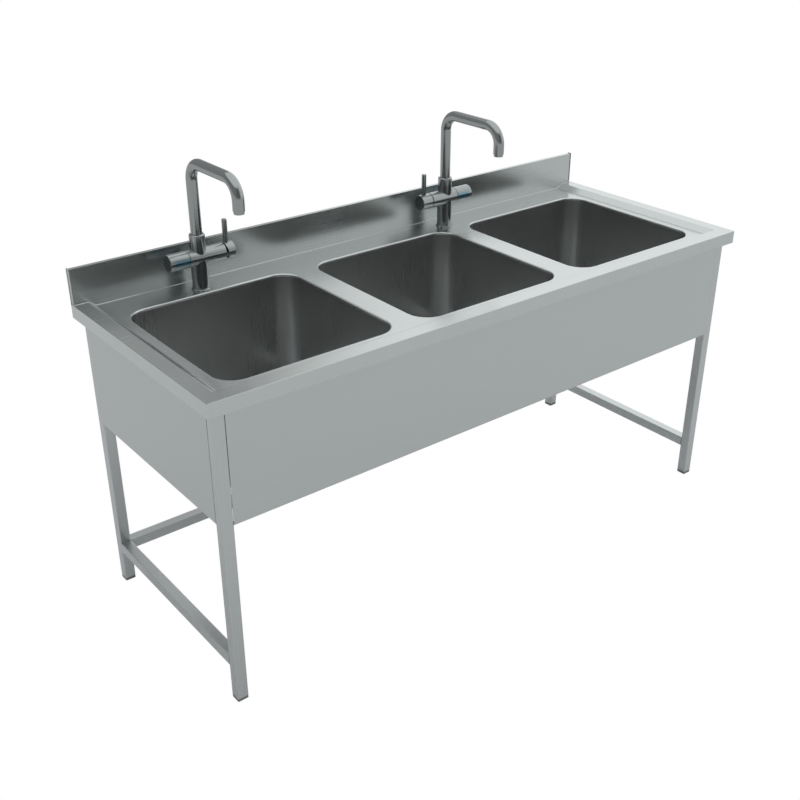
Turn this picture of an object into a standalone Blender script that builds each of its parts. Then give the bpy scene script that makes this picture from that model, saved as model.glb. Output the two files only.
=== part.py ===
"""Three compartment sink for a restaurant kitchen: pressed worktop on a square tube frame, three deep
bowls with basket wastes, and two swivel-spout mixer taps. Metres, Z up, feet on Z = 0, front is -Y."""
import math
import bmesh
import bpy
from mathutils import Matrix, Vector

LENGTH = 1.800
DEPTH = 0.696
STRIP_Z = 0.850          # top of the raised edge strip
DECK_Z = 0.8365          # pressed deck inside the strip
TURNDOWN = 0.037
UPSTAND_Z = 0.947
UPSTAND_T = 0.015
STRIP_SIDE = 0.038
STRIP_FRONT = 0.042
SLOPE = 0.0215
SHEET = 0.0012
BEND = 0.0018
GAP = 0.0003

BOWLS = {"left": -0.5665, "centre": 0.0, "right": 0.5665}
BOWL_Y = -0.01575
BOWL_HX = 0.2455
BOWL_HY = 0.24925
BOWL_R = 0.058
BOWL_FLOOR = 0.540
RIM_R = 0.004
WALL_R = 0.025
DRAIN_DROP = 0.0075
DRAIN_HOLE = 0.045
WASTE_STEPS = 20
CORNER_PTS = 7
RING_PTS = 4 * CORNER_PTS

TUBE = 0.030
TUBE_WALL = 0.0015
TUBE_EDGE_R = 0.0030
LEG_X = 0.865
LEG_Y = 0.313
LEG_TOP = 0.8345
FOOT_H = 0.0085
LOW_RAIL_Z = 0.115
PANEL_BOTTOM = 0.515
PANEL_TOP = 0.8342
PANEL_RETURN = 0.0145
SEAM = 0.0006

BARREL_Z = 0.9258
TAP_Y = 0.2685
TAP_SPOUT_TOP = 0.2525   # above the barrel axis
TAP_SPOUT_TIP = 0.1727
TAP_REACH = 0.229
SPOUT_R = 0.015
SPOUT_BEND = 0.048
COLUMN_R = 0.0224
BARREL_R = 0.0230
TAPS = {
    "left": {"x": -0.571, "turn": 0.0, "barrel_end": 0.0720, "cap_top": 0.0745, "cap_low": 0.0840,
             "pivot": (0.0785, 0.0)},
    "right": {"x": 0.277, "turn": math.pi, "barrel_end": 0.0605, "cap_top": 0.0630, "cap_low": 0.0630,
              "pivot": (0.0665, -0.0190)},
}

for old in list(bpy.data.objects):
    bpy.data.objects.remove(old, do_unlink=True)

parts = bpy.data.collections.new("three_compartment_sink")
cutters = bpy.data.collections.new("cutters")
bpy.context.scene.collection.children.link(parts)
bpy.context.scene.collection.children.link(cutters)


def make_material(name, colour, metallic, roughness):
    mat = bpy.data.materials.new(name)
    mat.use_nodes = True
    shader = mat.node_tree.nodes["Principled BSDF"]
    shader.inputs["Base Color"].default_value = (*colour, 1.0)
    shader.inputs["Metallic"].default_value = metallic
    shader.inputs["Roughness"].default_value = roughness
    return mat


LOOKS = {
    "steel_deck": ((0.50, 0.51, 0.51), 1.0, 0.28),
    "steel_bowl": ((0.34, 0.35, 0.35), 1.0, 0.34),
    "steel_frame": ((0.52, 0.53, 0.53), 1.0, 0.40),
    "steel_panel": ((0.54, 0.55, 0.55), 1.0, 0.42),
    "steel_hidden": ((0.42, 0.43, 0.43), 1.0, 0.45),
    "tap_chrome": ((0.40, 0.41, 0.42), 1.0, 0.18),
    "tap_brass": ((0.62, 0.48, 0.22), 1.0, 0.35),
    "dark_plastic": ((0.05, 0.05, 0.055), 0.0, 0.55),
    "waste_steel": ((0.48, 0.48, 0.48), 1.0, 0.25),
    "grey_rubber": ((0.06, 0.06, 0.06), 0.0, 0.75),
    "white_plastic": ((0.70, 0.70, 0.68), 0.0, 0.45),
}


def add_object(name, mesh, look, collection=parts, smooth=False, owner=None):
    obj = bpy.data.objects.new(name, mesh)
    collection.objects.link(obj)
    if smooth:
        mesh.shade_smooth()
        mesh.set_sharp_from_angle(angle=math.radians(35))
    if look:
        mesh.materials.append(make_material(name + "_" + look, *LOOKS[look]))
    if collection == cutters:
        obj.hide_render = True
        obj.display_type = "WIRE"
    if owner:
        obj.parent = owner
    return obj


def bm_object(name, bm, look, **more):
    mesh = bpy.data.meshes.new(name)
    bm.to_mesh(mesh)
    bm.free()
    return add_object(name, mesh, look, **more)


def bridge(bm, lower, upper):
    count = len(lower)
    for i in range(count):
        j = (i + 1) % count
        bm.faces.new((lower[i], lower[j], upper[j], upper[i]))


def lofted_solid(name, rings, look):
    """Skin between point rings of one count, closed at both ends."""
    bm = bmesh.new()
    loops = [[bm.verts.new(p) for p in ring] for ring in rings]
    for a, b in zip(loops, loops[1:]):
        bridge(bm, a, b)
    bm.faces.new(list(reversed(loops[0])))
    bm.faces.new(loops[-1])
    bmesh.ops.recalc_face_normals(bm, faces=bm.faces)
    return bm_object(name, bm, look)


def flat_prism(name, loops, length, look, axis="Z", owner=None, at=(0, 0, 0)):
    """Closed outlines, the inner ones holes, filled flat and pulled along the axis about their middle.
    Along X the outline's u runs down -Z and v along +Y; along Y its u runs along +X and v down -Z."""
    curve = bpy.data.curves.new(name, "CURVE")
    curve.dimensions = "2D"
    curve.fill_mode = "BOTH"
    curve.extrude = length / 2
    for loop in loops:
        spline = curve.splines.new("POLY")
        spline.points.add(len(loop) - 1)
        spline.use_cyclic_u = True
        for point, place in zip(spline.points, loop):
            point.co = (place[0], place[1], 0.0, 1.0)
    obj = add_object(name, curve, look, owner=owner)
    obj.location = at
    obj.rotation_euler = {"X": (0, math.pi / 2, 0), "Y": (-math.pi / 2, 0, 0), "Z": (0, 0, 0)}[axis]
    return obj


def rounded_ring(hx, hy, r, z, cx=0.0, cy=0.0, points=CORNER_PTS):
    ring = []
    for k, (sx, sy) in enumerate(((1, 1), (-1, 1), (-1, -1), (1, -1))):
        for i in range(points):
            a = math.radians(90 * k + 90 * i / (points - 1))
            ring.append(Vector((cx + sx * (hx - r) + r * math.cos(a),
                                cy + sy * (hy - r) + r * math.sin(a), z)))
    return ring


def circle_ring(r, z, cx=0.0, cy=0.0, count=RING_PTS, phase=0.5):
    turn = 2 * math.pi / count
    return [Vector((cx + r * math.cos(turn * (i + phase)), cy + r * math.sin(turn * (i + phase)), z))
            for i in range(count)]


def turned(name, profile, look, steps=24, closed=False, axis="Z", owner=None, at=(0, 0, 0),
           collection=parts):
    """Profile points (radius, height) run down the outer side; axis X lays the height along +X."""
    mesh = bpy.data.meshes.new(name)
    count = len(profile)
    edges = [(i, i + 1) for i in range(count - 1)] + ([(count - 1, 0)] if closed else [])
    mesh.from_pydata([(r, 0.0, h) for r, h in profile], edges, [])
    obj = add_object(name, mesh, look, collection=collection, owner=owner)
    obj.location = at
    if axis == "X":
        obj.rotation_euler = (0.0, math.pi / 2, 0.0)
    screw = obj.modifiers.new("turn", "SCREW")
    screw.axis = "Z"
    screw.angle = 2 * math.pi
    screw.steps = screw.render_steps = steps
    screw.use_merge_vertices = True
    screw.merge_threshold = 0.00001
    screw.use_smooth_shade = True
    return obj


def rod_cutter(name, r, low, high, axis, owner, steps=24):
    return turned(name, [(0, high), (r, high), (r, low), (0, low)], None, steps=steps, axis=axis,
                  owner=owner, collection=cutters)


def cut(obj, tool, operation="DIFFERENCE"):
    boolean = obj.modifiers.new(operation.lower(), "BOOLEAN")
    boolean.operation = operation
    boolean.solver = "EXACT"
    boolean.object = tool


def square_tube(name, axis, centre, length, look="steel_frame"):
    """Hollow square tube with rounded long edges, open at both ends."""
    loops = [rounded_ring(TUBE / 2 - inset, TUBE / 2 - inset, TUBE_EDGE_R - inset, 0.0, points=3)
             for inset in (0.0, TUBE_WALL)]
    flat_prism(name, loops, length, look, axis=axis, at=centre)


def bowl_hole_rings(cx):
    """Rolled rim of one bowl opening, from the deck round the bend and down a short lip."""
    rings = []
    for step in range(4):
        a = math.radians(30 * step)
        out = RIM_R * (1 - math.sin(a))
        rings.append(rounded_ring(BOWL_HX + out, BOWL_HY + out, BOWL_R + out,
                                  DECK_Z - RIM_R * (1 - math.cos(a)), cx, BOWL_Y))
    rings.append(rounded_ring(BOWL_HX, BOWL_HY, BOWL_R, DECK_Z - RIM_R - 0.0025, cx, BOWL_Y))
    return rings


def corner_loop(x, front, rear, z):
    return [Vector(p) for p in ((-x, front, z), (x, front, z), (x, rear, z), (-x, rear, z))]


def build_worktop():
    """One folded sheet: turndown, edge strip, slope and pressed deck, with an upstand at the rear."""
    x0, xs = LENGTH / 2, LENGTH / 2 - STRIP_SIDE
    front, rear, face = -DEPTH / 2, DEPTH / 2, DEPTH / 2 - UPSTAND_T
    folds = [corner_loop(x0, front, rear, STRIP_Z - TURNDOWN), corner_loop(x0, front, rear, STRIP_Z),
             corner_loop(xs, front + STRIP_FRONT, face, STRIP_Z),
             corner_loop(xs - SLOPE, front + STRIP_FRONT + SLOPE, face, DECK_Z)]
    bm = bmesh.new()
    loops = [[bm.verts.new(p) for p in ring] for ring in folds]
    for a, b in zip(loops, loops[1:]):
        bridge(bm, a, b)
    strip = [f for f in bm.faces if all(abs(v.co.z - STRIP_Z) < 1e-6 for v in f.verts)]
    around = {g for f in strip for g in (f, *f.edges, *f.verts)}
    bmesh.ops.bisect_plane(bm, geom=list(around), dist=1e-6, plane_co=(0, face, 0), plane_no=(0, 1, 0))
    rear_strip = [f for f in bm.faces if all(abs(v.co.z - STRIP_Z) < 1e-6 for v in f.verts)
                  and f.calc_center_median().y > face]
    raised = bmesh.ops.extrude_face_region(bm, geom=rear_strip)["geom"]
    bmesh.ops.delete(bm, geom=rear_strip, context="FACES")
    bmesh.ops.translate(bm, vec=(0, 0, UPSTAND_Z - STRIP_Z),
                        verts=[g for g in raised if isinstance(g, bmesh.types.BMVert)])
    bmesh.ops.dissolve_edges(bm, edges=[e for e in bm.edges if len(e.link_faces) == 2
                                        and e.calc_face_angle() < 0.01
                                        and min(v.co.y for v in e.verts) > face - 1e-6])
    bm.normal_update()
    weight = bm.edges.layers.float.new("bevel_weight_edge")
    for edge in bm.edges:
        deck_edge = all(v in loops[3] for v in edge.verts)
        if deck_edge or (len(edge.link_faces) == 2 and edge.calc_face_angle() > math.radians(20)):
            edge[weight] = 1.0
    open_edges = [e for e in bm.edges if all(v in loops[3] for v in e.verts)]
    for cx in BOWLS.values():
        rim = [[bm.verts.new(p) for p in ring] for ring in bowl_hole_rings(cx)]
        for upper, lower in zip(rim, rim[1:]):
            bridge(bm, lower, upper)
        open_edges += [bm.edges.get((rim[0][i], rim[0][i - 1])) for i in range(RING_PTS)]
    for tap in TAPS.values():
        hole = [bm.verts.new(p) for p in circle_ring(0.0135, DECK_Z, tap["x"], TAP_Y, 16)]
        open_edges += [bm.edges.new((hole[i], hole[i - 1])) for i in range(16)]
    deck = bmesh.ops.triangle_fill(bm, use_beauty=True, edges=open_edges, normal=(0, 0, 1))["geom"]
    deck = [g for g in deck if isinstance(g, bmesh.types.BMFace)]
    bmesh.ops.recalc_face_normals(bm, faces=bm.faces)
    if sum(f.normal.z for f in deck) < 0:
        bmesh.ops.reverse_faces(bm, faces=bm.faces)
    obj = bm_object("worktop", bm, "steel_deck", smooth=True)
    bevel = obj.modifiers.new("bend", "BEVEL")
    bevel.width = BEND
    bevel.segments = 2
    bevel.limit_method = "WEIGHT"
    sheet = obj.modifiers.new("sheet", "SOLIDIFY")
    sheet.thickness = SHEET
    sheet.offset = -1.0
    sheet.use_even_offset = True


def build_bowl(side, cx):
    out = GAP + SHEET
    rings = [rounded_ring(BOWL_HX + out, BOWL_HY + out, BOWL_R + out, DECK_Z - RIM_R, cx, BOWL_Y)]
    wall = out - 0.004
    for step in range(5):
        a = math.radians(22.5 * step)
        inset = WALL_R * (1 - math.cos(a)) - wall
        rings.append(rounded_ring(BOWL_HX - inset, BOWL_HY - inset, BOWL_R - inset,
                                  BOWL_FLOOR + WALL_R * (1 - math.sin(a)), cx, BOWL_Y))
    for r, drop in ((0.066, 0.004), (0.061, DRAIN_DROP), (DRAIN_HOLE, DRAIN_DROP)):
        rings.append(circle_ring(r, BOWL_FLOOR - drop, cx, BOWL_Y))
    bm = bmesh.new()
    loops = [[bm.verts.new(p) for p in ring] for ring in rings]
    for upper, lower in zip(loops, loops[1:]):
        bridge(bm, upper, lower)
    bm.faces.ensure_lookup_table()
    bm.normal_update()
    floor = max(bm.faces, key=lambda f: abs(f.normal.z))
    if floor.normal.z < 0:
        bmesh.ops.reverse_faces(bm, faces=bm.faces)
    obj = bm_object("bowl_" + side, bm, "steel_bowl", smooth=True)
    sheet = obj.modifiers.new("sheet", "SOLIDIFY")
    sheet.thickness = SHEET
    sheet.offset = -1.0
    sheet.use_even_offset = True


def basket_slots(name, count=8):
    """Cutter for the basket floor: one long radial box for each slot."""
    bm = bmesh.new()
    for k in range(count):
        spin = Matrix.Rotation(2 * math.pi * k / count, 4, "Z")
        size = Matrix.Diagonal((0.019, 0.0044, 0.008, 1.0))
        bmesh.ops.create_cube(bm, size=1.0, matrix=spin @ Matrix.Translation((0.0195, 0, -0.042)) @ size)
    return bm_object(name, bm, None, collection=cutters)


def build_waste(side, cx):
    seat = BOWL_FLOOR - DRAIN_DROP
    place = (cx, BOWL_Y, seat)
    g = GAP
    turned("waste_body_" + side, [
        (0.0550, g + 0.0018), (0.0565, g + 0.0010), (0.0565, g), (0.0430, g), (0.0430, -0.0450),
        (0.0200, -0.0510), (0.0200, -0.0850), (0.0180, -0.0850), (0.0180, -0.0490), (0.0412, -0.0430),
        (0.0412, 0.0004), (0.0440, g + 0.0018)], "waste_steel", steps=WASTE_STEPS,
        closed=True, at=place)
    turned("waste_gasket_" + side, [
        (0.0560, -SHEET - g), (0.0560, -SHEET - g - 0.003), (0.0434, -SHEET - g - 0.003),
        (0.0434, -SHEET - g)], "grey_rubber", steps=WASTE_STEPS, closed=True, at=place)
    top = -SHEET - 2 * g - 0.003
    lobes = [p * (0.0590 if i % 4 == 0 else 0.0555)
             for i, p in enumerate(circle_ring(1.0, 0.0, count=WASTE_STEPS, phase=0))]
    bore = circle_ring(0.0434, 0.0, count=WASTE_STEPS, phase=0)
    flat_prism("waste_nut_" + side, [lobes, bore], 0.012, "white_plastic",
               at=(cx, BOWL_Y, seat + top - 0.006))
    basket = turned("strainer_basket_" + side, [
        (0, 0.0060), (0.0060, 0.0060), (0.0080, 0.0030), (0.0060, -0.0005), (0.0025, -0.0020),
        (0.0025, -0.0411), (0.0335, -0.0411), (0.0358, -0.0040), (0.0385, -0.0020), (0.0402, -0.0020),
        (0.0402, -0.0035), (0.0372, -0.0050), (0.0349, -0.0425), (0, -0.0425)],
        "waste_steel", steps=WASTE_STEPS, at=place)
    slots = basket_slots("basket_slots_" + side)
    slots.location = place
    cut(basket, slots)


def build_frame():
    for fb, sy in (("front", -1), ("rear", 1)):
        for lr, sx in (("left", -1), ("right", 1)):
            name = "%s_%s" % (fb, lr)
            square_tube("leg_" + name, "Z", (sx * LEG_X, sy * LEG_Y, (LEG_TOP + FOOT_H + GAP) / 2),
                        LEG_TOP - FOOT_H - GAP)
            half, stem = TUBE / 2, TUBE / 2 - TUBE_WALL - GAP
            rings = [rounded_ring(half - 0.0012, half - 0.0012, 0.0025, 0.0, points=3),
                     rounded_ring(half, half, 0.0030, 0.0012, points=3),
                     rounded_ring(half, half, 0.0030, FOOT_H, points=3),
                     rounded_ring(stem, stem, 0.0012, FOOT_H, points=3),
                     rounded_ring(stem - 0.0015, stem - 0.0015, 0.0012, 0.030, points=3)]
            foot = lofted_solid("foot_cap_" + name, rings, "dark_plastic")
            foot.location = (sx * LEG_X, sy * LEG_Y, 0.0)
    across = 2 * (LEG_X - TUBE / 2 - GAP)
    along = 2 * (LEG_Y - TUBE / 2 - GAP)
    square_tube("stretcher_left", "Y", (-LEG_X, 0, LOW_RAIL_Z), along)
    square_tube("stretcher_right", "Y", (LEG_X, 0, LOW_RAIL_Z), along)
    square_tube("stretcher_rear", "X", (0, LEG_Y, LOW_RAIL_Z), across)
    square_tube("rear_rail", "X", (0, LEG_Y, LEG_TOP - TUBE / 2), across, "steel_hidden")


def panel_outline(face, inward):
    """C section: outer face, with a short return at the bottom and top. inward is +1 or -1 along the depth.
    Points are (depth, height)."""
    t, lip = SHEET * inward, PANEL_RETURN * inward
    return [(face, PANEL_BOTTOM), (face + lip, PANEL_BOTTOM), (face + lip, PANEL_BOTTOM + SHEET),
            (face + t, PANEL_BOTTOM + SHEET), (face + t, PANEL_TOP - SHEET), (face + lip, PANEL_TOP - SHEET),
            (face + lip, PANEL_TOP), (face, PANEL_TOP)]


def build_panels():
    face_y, face_x = LEG_Y + TUBE / 2, LEG_X + TUBE / 2
    across = 2 * (LEG_X - TUBE / 2 - SEAM)
    along = 2 * (LEG_Y - TUBE / 2 - SEAM)
    flat_prism("apron_front", [[(-z, y) for y, z in panel_outline(-face_y, 1)]], across, "steel_panel", "X")
    for side, sx in (("left", -1), ("right", 1)):
        flat_prism("side_panel_" + side, [[(x, -z) for x, z in panel_outline(sx * face_x, -sx)]], along,
                   "steel_panel", "Y")
    front, back = -face_y + PANEL_RETURN + GAP, TAP_Y - 0.025
    top, t, half, deep = DECK_Z - SHEET - GAP, 0.0015, 0.015, 0.025
    hat = [(-half, top - deep), (-half + t, top - deep), (-half + t, top - t), (half - t, top - t),
           (half - t, top - deep), (half, top - deep), (half, top), (-half, top)]
    for side, sx in (("left", -1), ("right", 1)):
        between = sx * (BOWLS["right"] / 2)
        flat_prism("deck_stiffener_" + side, [[(x, -z) for x, z in hat]], back - front, "steel_hidden", "Y",
                   at=(between, (front + back) / 2, 0))


def build_tap_static(side, tap, hub):
    end = tap["barrel_end"]
    deck = DECK_Z - BARREL_Z
    turned("tap_base_ring_" + side, [
        (0.0238, deck + 0.0051), (0.0262, deck + 0.0030), (0.0262, deck + GAP), (0.0132, deck + GAP),
        (0.0132, deck + 0.0051)], "tap_chrome", closed=True, owner=hub)
    body = turned("tap_body_" + side, [
        (0, 0), (COLUMN_R, 0), (COLUMN_R, deck + 0.0054), (0, deck + 0.0054)], "tap_chrome", owner=hub)
    barrel = rod_cutter("barrel_" + side, BARREL_R, -0.0342, end, "X", hub, steps=32)
    cut(body, barrel, "UNION")
    cut(body, rod_cutter("lever_bore_" + side, 0.0165, 0.004, end + 0.01, "X", hub))
    cut(body, rod_cutter("valve_bore_" + side, 0.0130, -0.050, -0.004, "X", hub))
    cut(body, rod_cutter("water_way_" + side, 0.0060, -0.080, 0.030, "Z", hub, steps=16))
    cut(body, rod_cutter("shank_socket_" + side, 0.0130, -0.095, -0.066, "Z", hub))
    collar = turned("spout_collar_" + side, [
        (0.0182, 0.0625), (0.0210, 0.0597), (0.0210, 0.0020), (0.0154, 0.0020), (0.0154, 0.0625)],
        "tap_chrome", closed=True, owner=hub)
    cut(collar, rod_cutter("collar_saddle_" + side, BARREL_R + GAP, -0.060, 0.060, "X", hub, steps=32))
    turned("valve_headwork_" + side, [
        (0, -0.0060), (0.0127, -0.0060), (0.0127, -0.0335), (0.0050, -0.0335), (0.0050, -0.0590),
        (0, -0.0590)], "tap_brass", steps=16, axis="X", owner=hub)
    turned("tap_shank_" + side, [
        (0.0127, -0.0665), (0.0127, deck - 0.0450), (0.0090, deck - 0.0450), (0.0090, -0.0665)],
        "tap_brass", steps=20, closed=True, owner=hub)
    under = deck - SHEET - GAP
    turned("clamp_washer_" + side, [
        (0.0215, under), (0.0215, under - 0.0025), (0.0131, under - 0.0025), (0.0131, under)],
        "tap_brass", steps=20, closed=True, owner=hub)
    top = under - 0.0025 - GAP
    loops = [circle_ring(0.0205, 0.0, count=6), circle_ring(0.0131, 0.0, count=24)]
    flat_prism("shank_nut_" + side, loops, 0.008, "tap_brass", owner=hub, at=(0, 0, top - 0.004))


def build_tap_moving(side, tap, hub):
    end = tap["barrel_end"]
    turned("mixer_core_" + side, [
        (0, end - 0.0030), (0.0090, end - 0.0030), (0.0162, end - 0.0055), (0.0162, 0.0120), (0, 0.0120)],
        "tap_brass", axis="X", owner=hub)
    near, far = tap["cap_top"], 0.1000
    cap = turned("lever_cap_" + side, [
        (0, far), (BARREL_R - 0.0008, far), (BARREL_R, far - 0.0008), (BARREL_R, near), (0, near)],
        "tap_chrome", steps=32, axis="X", owner=hub)
    if tap["cap_low"] > near:
        lean = math.atan((tap["cap_low"] - near) / (2 * BARREL_R))
        middle = (near + tap["cap_low"]) / 2
        bm = bmesh.new()
        bmesh.ops.create_cube(bm, size=0.08, matrix=Matrix.Translation((-0.04, 0, 0)))
        slant = bm_object("cap_slant_" + side, bm, None, collection=cutters, owner=hub)
        slant.location = (middle, 0, 0)
        slant.rotation_euler = (0, -lean, 0)
        cut(cap, slant)
    socket = rod_cutter("rod_socket_" + side, 0.0073, 0.0080, 0.0300, "Z", hub, steps=16)
    socket.location.x = 0.083
    cut(cap, socket)
    turned("lever_rod_" + side, [
        (0, 0.0850), (0.0060, 0.0850), (0.0070, 0.0840), (0.0070, 0.0083), (0, 0.0083)],
        "tap_chrome", steps=16, owner=hub, at=(0.083, 0, 0))
    turned("valve_knob_" + side, [
        (0, -0.0595), (0.0054, -0.0595), (0.0054, -0.0395), (0.0085, -0.0395), (0.0085, -0.0870),
        (0.0205, -0.0870), (0.0205, -0.0350), (BARREL_R, -0.0350), (BARREL_R, -0.0902), (0.0222, -0.0910),
        (0, -0.0910)], "tap_chrome", axis="X", owner=hub)


def spout_path():
    """Centre line of the swivelling tube: up from the collar, forward over the bowls and down to the tip."""
    top, b = TAP_SPOUT_TOP, SPOUT_BEND
    stops = [(0.0, 0.0250)]
    for k in range(7):
        a = math.radians(15 * k)
        stops.append((b - b * math.cos(a), top - b + b * math.sin(a)))
    for k in range(7):
        a = math.radians(15 * k)
        stops.append((TAP_REACH - b + b * math.sin(a), top - b + b * math.cos(a)))
    stops.append((TAP_REACH, TAP_SPOUT_TIP + 0.007))
    return [(0.0, -reach, height) for reach, height in stops]


def build_spout(side, pivot):
    line = bpy.data.curves.new("spout_line", "CURVE")
    line.dimensions = "3D"
    line.bevel_depth = SPOUT_R
    line.bevel_resolution = 6
    spline = line.splines.new("POLY")
    path = spout_path()
    spline.points.add(len(path) - 1)
    for point, place in zip(spline.points, path):
        point.co = (*place, 1.0)
    guide = bpy.data.objects.new("spout_line", line)
    cutters.objects.link(guide)
    depsgraph = bpy.context.evaluated_depsgraph_get()
    mesh = bpy.data.meshes.new_from_object(guide.evaluated_get(depsgraph))
    bpy.data.objects.remove(guide)
    tube = add_object("spout_" + side, mesh, "tap_chrome", smooth=True, owner=pivot)
    wall = tube.modifiers.new("wall", "SOLIDIFY")
    wall.thickness = 0.0014
    wall.offset = -1.0
    wall.use_even_offset = True
    turned("aerator_" + side, [
        (0.0132, 0.0170), (0.0133, 0.0010), (0.0123, 0.0), (0.0095, 0.0), (0.0090, 0.0020),
        (0.0090, 0.0170)], "tap_chrome", steps=20, closed=True, owner=pivot,
        at=(0, -TAP_REACH, TAP_SPOUT_TIP))


def build_taps():
    for side, tap in TAPS.items():
        hub = bpy.data.objects.new("tap_hub_" + side, None)
        hub.location = (tap["x"], TAP_Y, BARREL_Z)
        hub.rotation_euler = (0, 0, tap["turn"])
        pivot = bpy.data.objects.new("spout_axis_" + side, None)
        pivot.location = hub.location
        parts.objects.link(hub)
        parts.objects.link(pivot)
        build_tap_static(side, tap, hub)
        build_tap_moving(side, tap, hub)
        build_spout(side, pivot)


build_worktop()
for bowl_side, bowl_x in BOWLS.items():
    build_bowl(bowl_side, bowl_x)
    build_waste(bowl_side, bowl_x)
build_frame()
build_panels()
build_taps()
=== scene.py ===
# Three compartment sink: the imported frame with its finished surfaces, steel finishes, light and camera.
import math

import bmesh
import bpy
import numpy as np
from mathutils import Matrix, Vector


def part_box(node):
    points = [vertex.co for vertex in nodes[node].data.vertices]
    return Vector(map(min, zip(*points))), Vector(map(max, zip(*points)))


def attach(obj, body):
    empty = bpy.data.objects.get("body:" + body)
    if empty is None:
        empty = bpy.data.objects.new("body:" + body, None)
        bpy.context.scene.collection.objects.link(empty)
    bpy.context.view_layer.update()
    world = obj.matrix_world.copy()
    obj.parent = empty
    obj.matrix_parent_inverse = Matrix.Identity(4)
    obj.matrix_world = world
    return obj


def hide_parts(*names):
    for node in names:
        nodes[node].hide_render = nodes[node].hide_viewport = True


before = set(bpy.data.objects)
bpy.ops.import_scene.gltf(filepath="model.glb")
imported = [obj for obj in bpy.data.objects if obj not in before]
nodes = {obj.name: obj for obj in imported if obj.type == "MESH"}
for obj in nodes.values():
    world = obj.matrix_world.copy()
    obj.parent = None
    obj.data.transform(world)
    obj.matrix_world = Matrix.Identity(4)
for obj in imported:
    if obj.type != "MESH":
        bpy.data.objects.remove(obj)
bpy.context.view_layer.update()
print("frame loaded")


def span(node):
    # lowest and highest corner of a node at rest
    low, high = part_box(node)
    return np.array(low, float), np.array(high, float)


def arcAngles(start, stop, count):
    # evenly spaced angles from start to stop degrees, in radians
    return np.radians(np.linspace(start, stop, count))


def roundedLoop(hx, hy, r, z, cx=0.0, cy=0.0, perCorner=9, split=45.0):
    # rectangle of half sizes hx, hy with corner arcs of radius r, run anticlockwise from +X,
    # each arc's middle point at the given split angle
    half = perCorner // 2
    pieces = []
    for k, (sx, sy) in enumerate(((1, 1), (-1, 1), (-1, -1), (1, -1))):
        middle = split if k % 2 == 0 else 90.0 - split
        a = np.concatenate([np.linspace(0, middle, half + 1), np.linspace(middle, 90, half + 1)[1:]])
        a = np.radians(a + 90.0 * k)
        pieces.append(np.stack([cx + sx * (hx - r) + r * np.cos(a), cy + sy * (hy - r) + r * np.sin(a),
                                np.full_like(a, z)], 1))
    return np.concatenate(pieces)


def circleLoop(r, z, cx=0.0, cy=0.0, count=36):
    # circle whose points sit nearest to those of a rounded rectangle of the same count
    a = 2 * np.pi * (np.arange(count) + 0.5) / count
    return np.stack([cx + r * np.cos(a), cy + r * np.sin(a), np.full(count, z)], 1)


def turnedGrid(profile, steps=64):
    # each profile point (radius, height) swung round the Z axis
    p = np.array(profile, float)
    a = 2 * np.pi * np.arange(steps) / steps
    return np.stack([p[:, :1] * np.cos(a), p[:, :1] * np.sin(a), np.repeat(p[:, 1:], steps, 1)], 2)


def roundCorners(points, r, steps=5, closed=False):
    # polyline with each inner corner swapped for an arc that touches both sides
    pts = [np.array(p, float) for p in points]
    out = []
    n = len(pts)
    for i in range(n):
        if not closed and i in (0, n - 1):
            out.append(pts[i][None])
            continue
        a, b, c = pts[i - 1], pts[i], pts[(i + 1) % n]
        radius = r[i] if isinstance(r, (list, tuple)) else r
        u, w = (a - b) / np.linalg.norm(a - b), (c - b) / np.linalg.norm(c - b)
        angle = math.acos(max(-1.0, min(1.0, float(u @ w))))
        if radius <= 0 or angle > math.radians(176):
            out.append(b[None])
            continue
        back = radius / math.tan(angle / 2)
        back = min(back, 0.49 * np.linalg.norm(a - b), 0.49 * np.linalg.norm(c - b))
        t = np.linspace(0, 1, steps)[:, None]
        start, end = b + u * back, b + w * back
        turn = math.pi - angle
        middle = b + (u + w) / np.linalg.norm(u + w) * (back / math.cos(angle / 2))
        s0, s1 = start - middle, end - middle
        arc = (np.sin((1 - t) * turn) * s0 + np.sin(t * turn) * s1) / math.sin(turn)
        out.append(middle + arc)
    return np.concatenate(out)


def gridFaces(rows, columns, first, closeRows=False, closeColumns=True):
    # quad (i, j), (i, j+1), (i+1, j+1), (i+1, j) for each cell, wrapping where a direction closes
    i = np.arange(rows if closeRows else rows - 1)
    j = np.arange(columns if closeColumns else columns - 1)
    i, j = np.meshgrid(i, j, indexing="ij")
    i2, j2 = (i + 1) % rows, (j + 1) % columns
    quads = np.stack([i * columns + j, i * columns + j2, i2 * columns + j2, i2 * columns + j], -1)
    return (quads.reshape(-1, 4) + first).tolist()


def gridMesh(name, sheets, outward=True):
    # sheets: dictionaries with a grid (rows, columns, 3) and how it closes
    verts, faces, first = [], [], 0
    for sheet in sheets:
        g = sheet["grid"]
        rows, columns = g.shape[:2]
        faces += gridFaces(rows, columns, first, sheet.get("closeRows", False), sheet.get("closeColumns", True))
        if sheet.get("capFirst"):
            faces.append(list(range(first + columns - 1, first - 1, -1)))
        if sheet.get("capLast"):
            last = first + (rows - 1) * columns
            faces.append(list(range(last, last + columns)))
        verts.append(g.reshape(-1, 3))
        first += rows * columns
    mesh = bpy.data.meshes.new(name)
    mesh.from_pydata(np.concatenate(verts).tolist(), [], faces)
    bm = bmesh.new()
    bm.from_mesh(mesh)
    bmesh.ops.remove_doubles(bm, verts=bm.verts, dist=0.000002)
    bmesh.ops.dissolve_degenerate(bm, edges=bm.edges, dist=0.000001)
    if outward:
        bmesh.ops.recalc_face_normals(bm, faces=bm.faces)
    bm.to_mesh(mesh)
    bm.free()
    return mesh


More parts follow.
